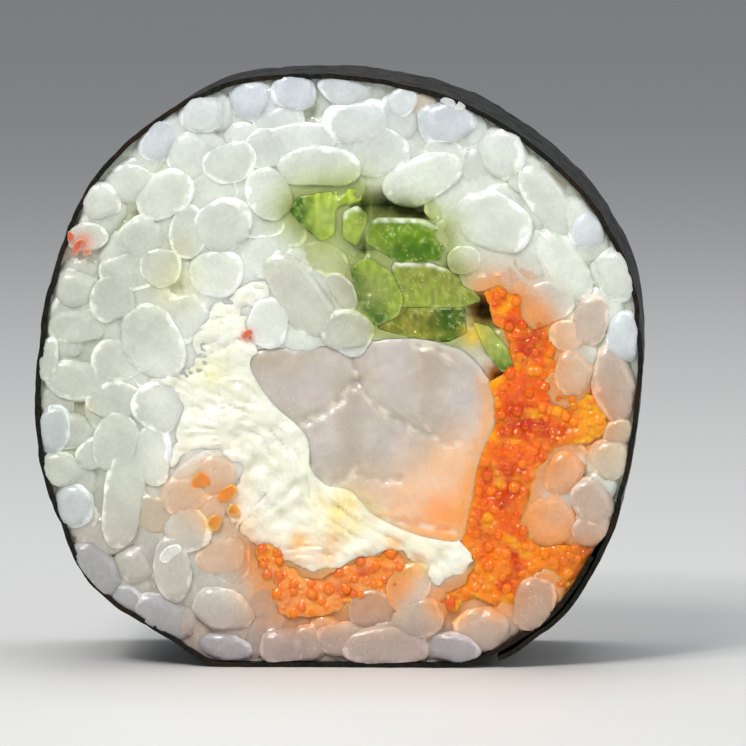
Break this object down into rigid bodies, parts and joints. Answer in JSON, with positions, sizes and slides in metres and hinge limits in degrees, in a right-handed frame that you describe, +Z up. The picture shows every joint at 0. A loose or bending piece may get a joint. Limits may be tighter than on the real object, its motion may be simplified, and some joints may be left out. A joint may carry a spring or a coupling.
{
  "type": "futomaki roll slice",
  "caption": "Cut slice of a thick maki roll, nori outside, with rice, shrimp, cream cheese, cucumber and orange roe.",
  "frame": {"origin": "on the surface that the slice rests on, under the middle of its bounding box", "axes": "+Y runs along the roll's axis, away from the cut face that the picture shows, +X to that face's right, +Z up"},
  "size_m": [0.0499, 0.025, 0.0488],
  "materials": {
    "nori": "moist roasted seaweed, semi-gloss, fine fibres",
    "rice": "translucent, moist cooked rice",
    "cream_cheese": "dense white, smeared by the knife",
    "shrimp": "translucent, moist cooked shrimp",
    "cucumber": "wet flesh with green skin",
    "roe": "wet translucent orange eggs"
  },
  "bodies": {
    "root": {"nori": "nori", "rice": "rice", "cream_cheese": "cream_cheese", "shrimp": "shrimp", "roe_right": "roe", "roe_bottom": "roe", "cucumber_1": "cucumber", "cucumber_2": "cucumber", "cucumber_3": "cucumber", "cucumber_4": "cucumber", "cucumber_5": "cucumber", "cucumber_6": "cucumber", "cucumber_7": "cucumber"}
  },
  "joints": []
}
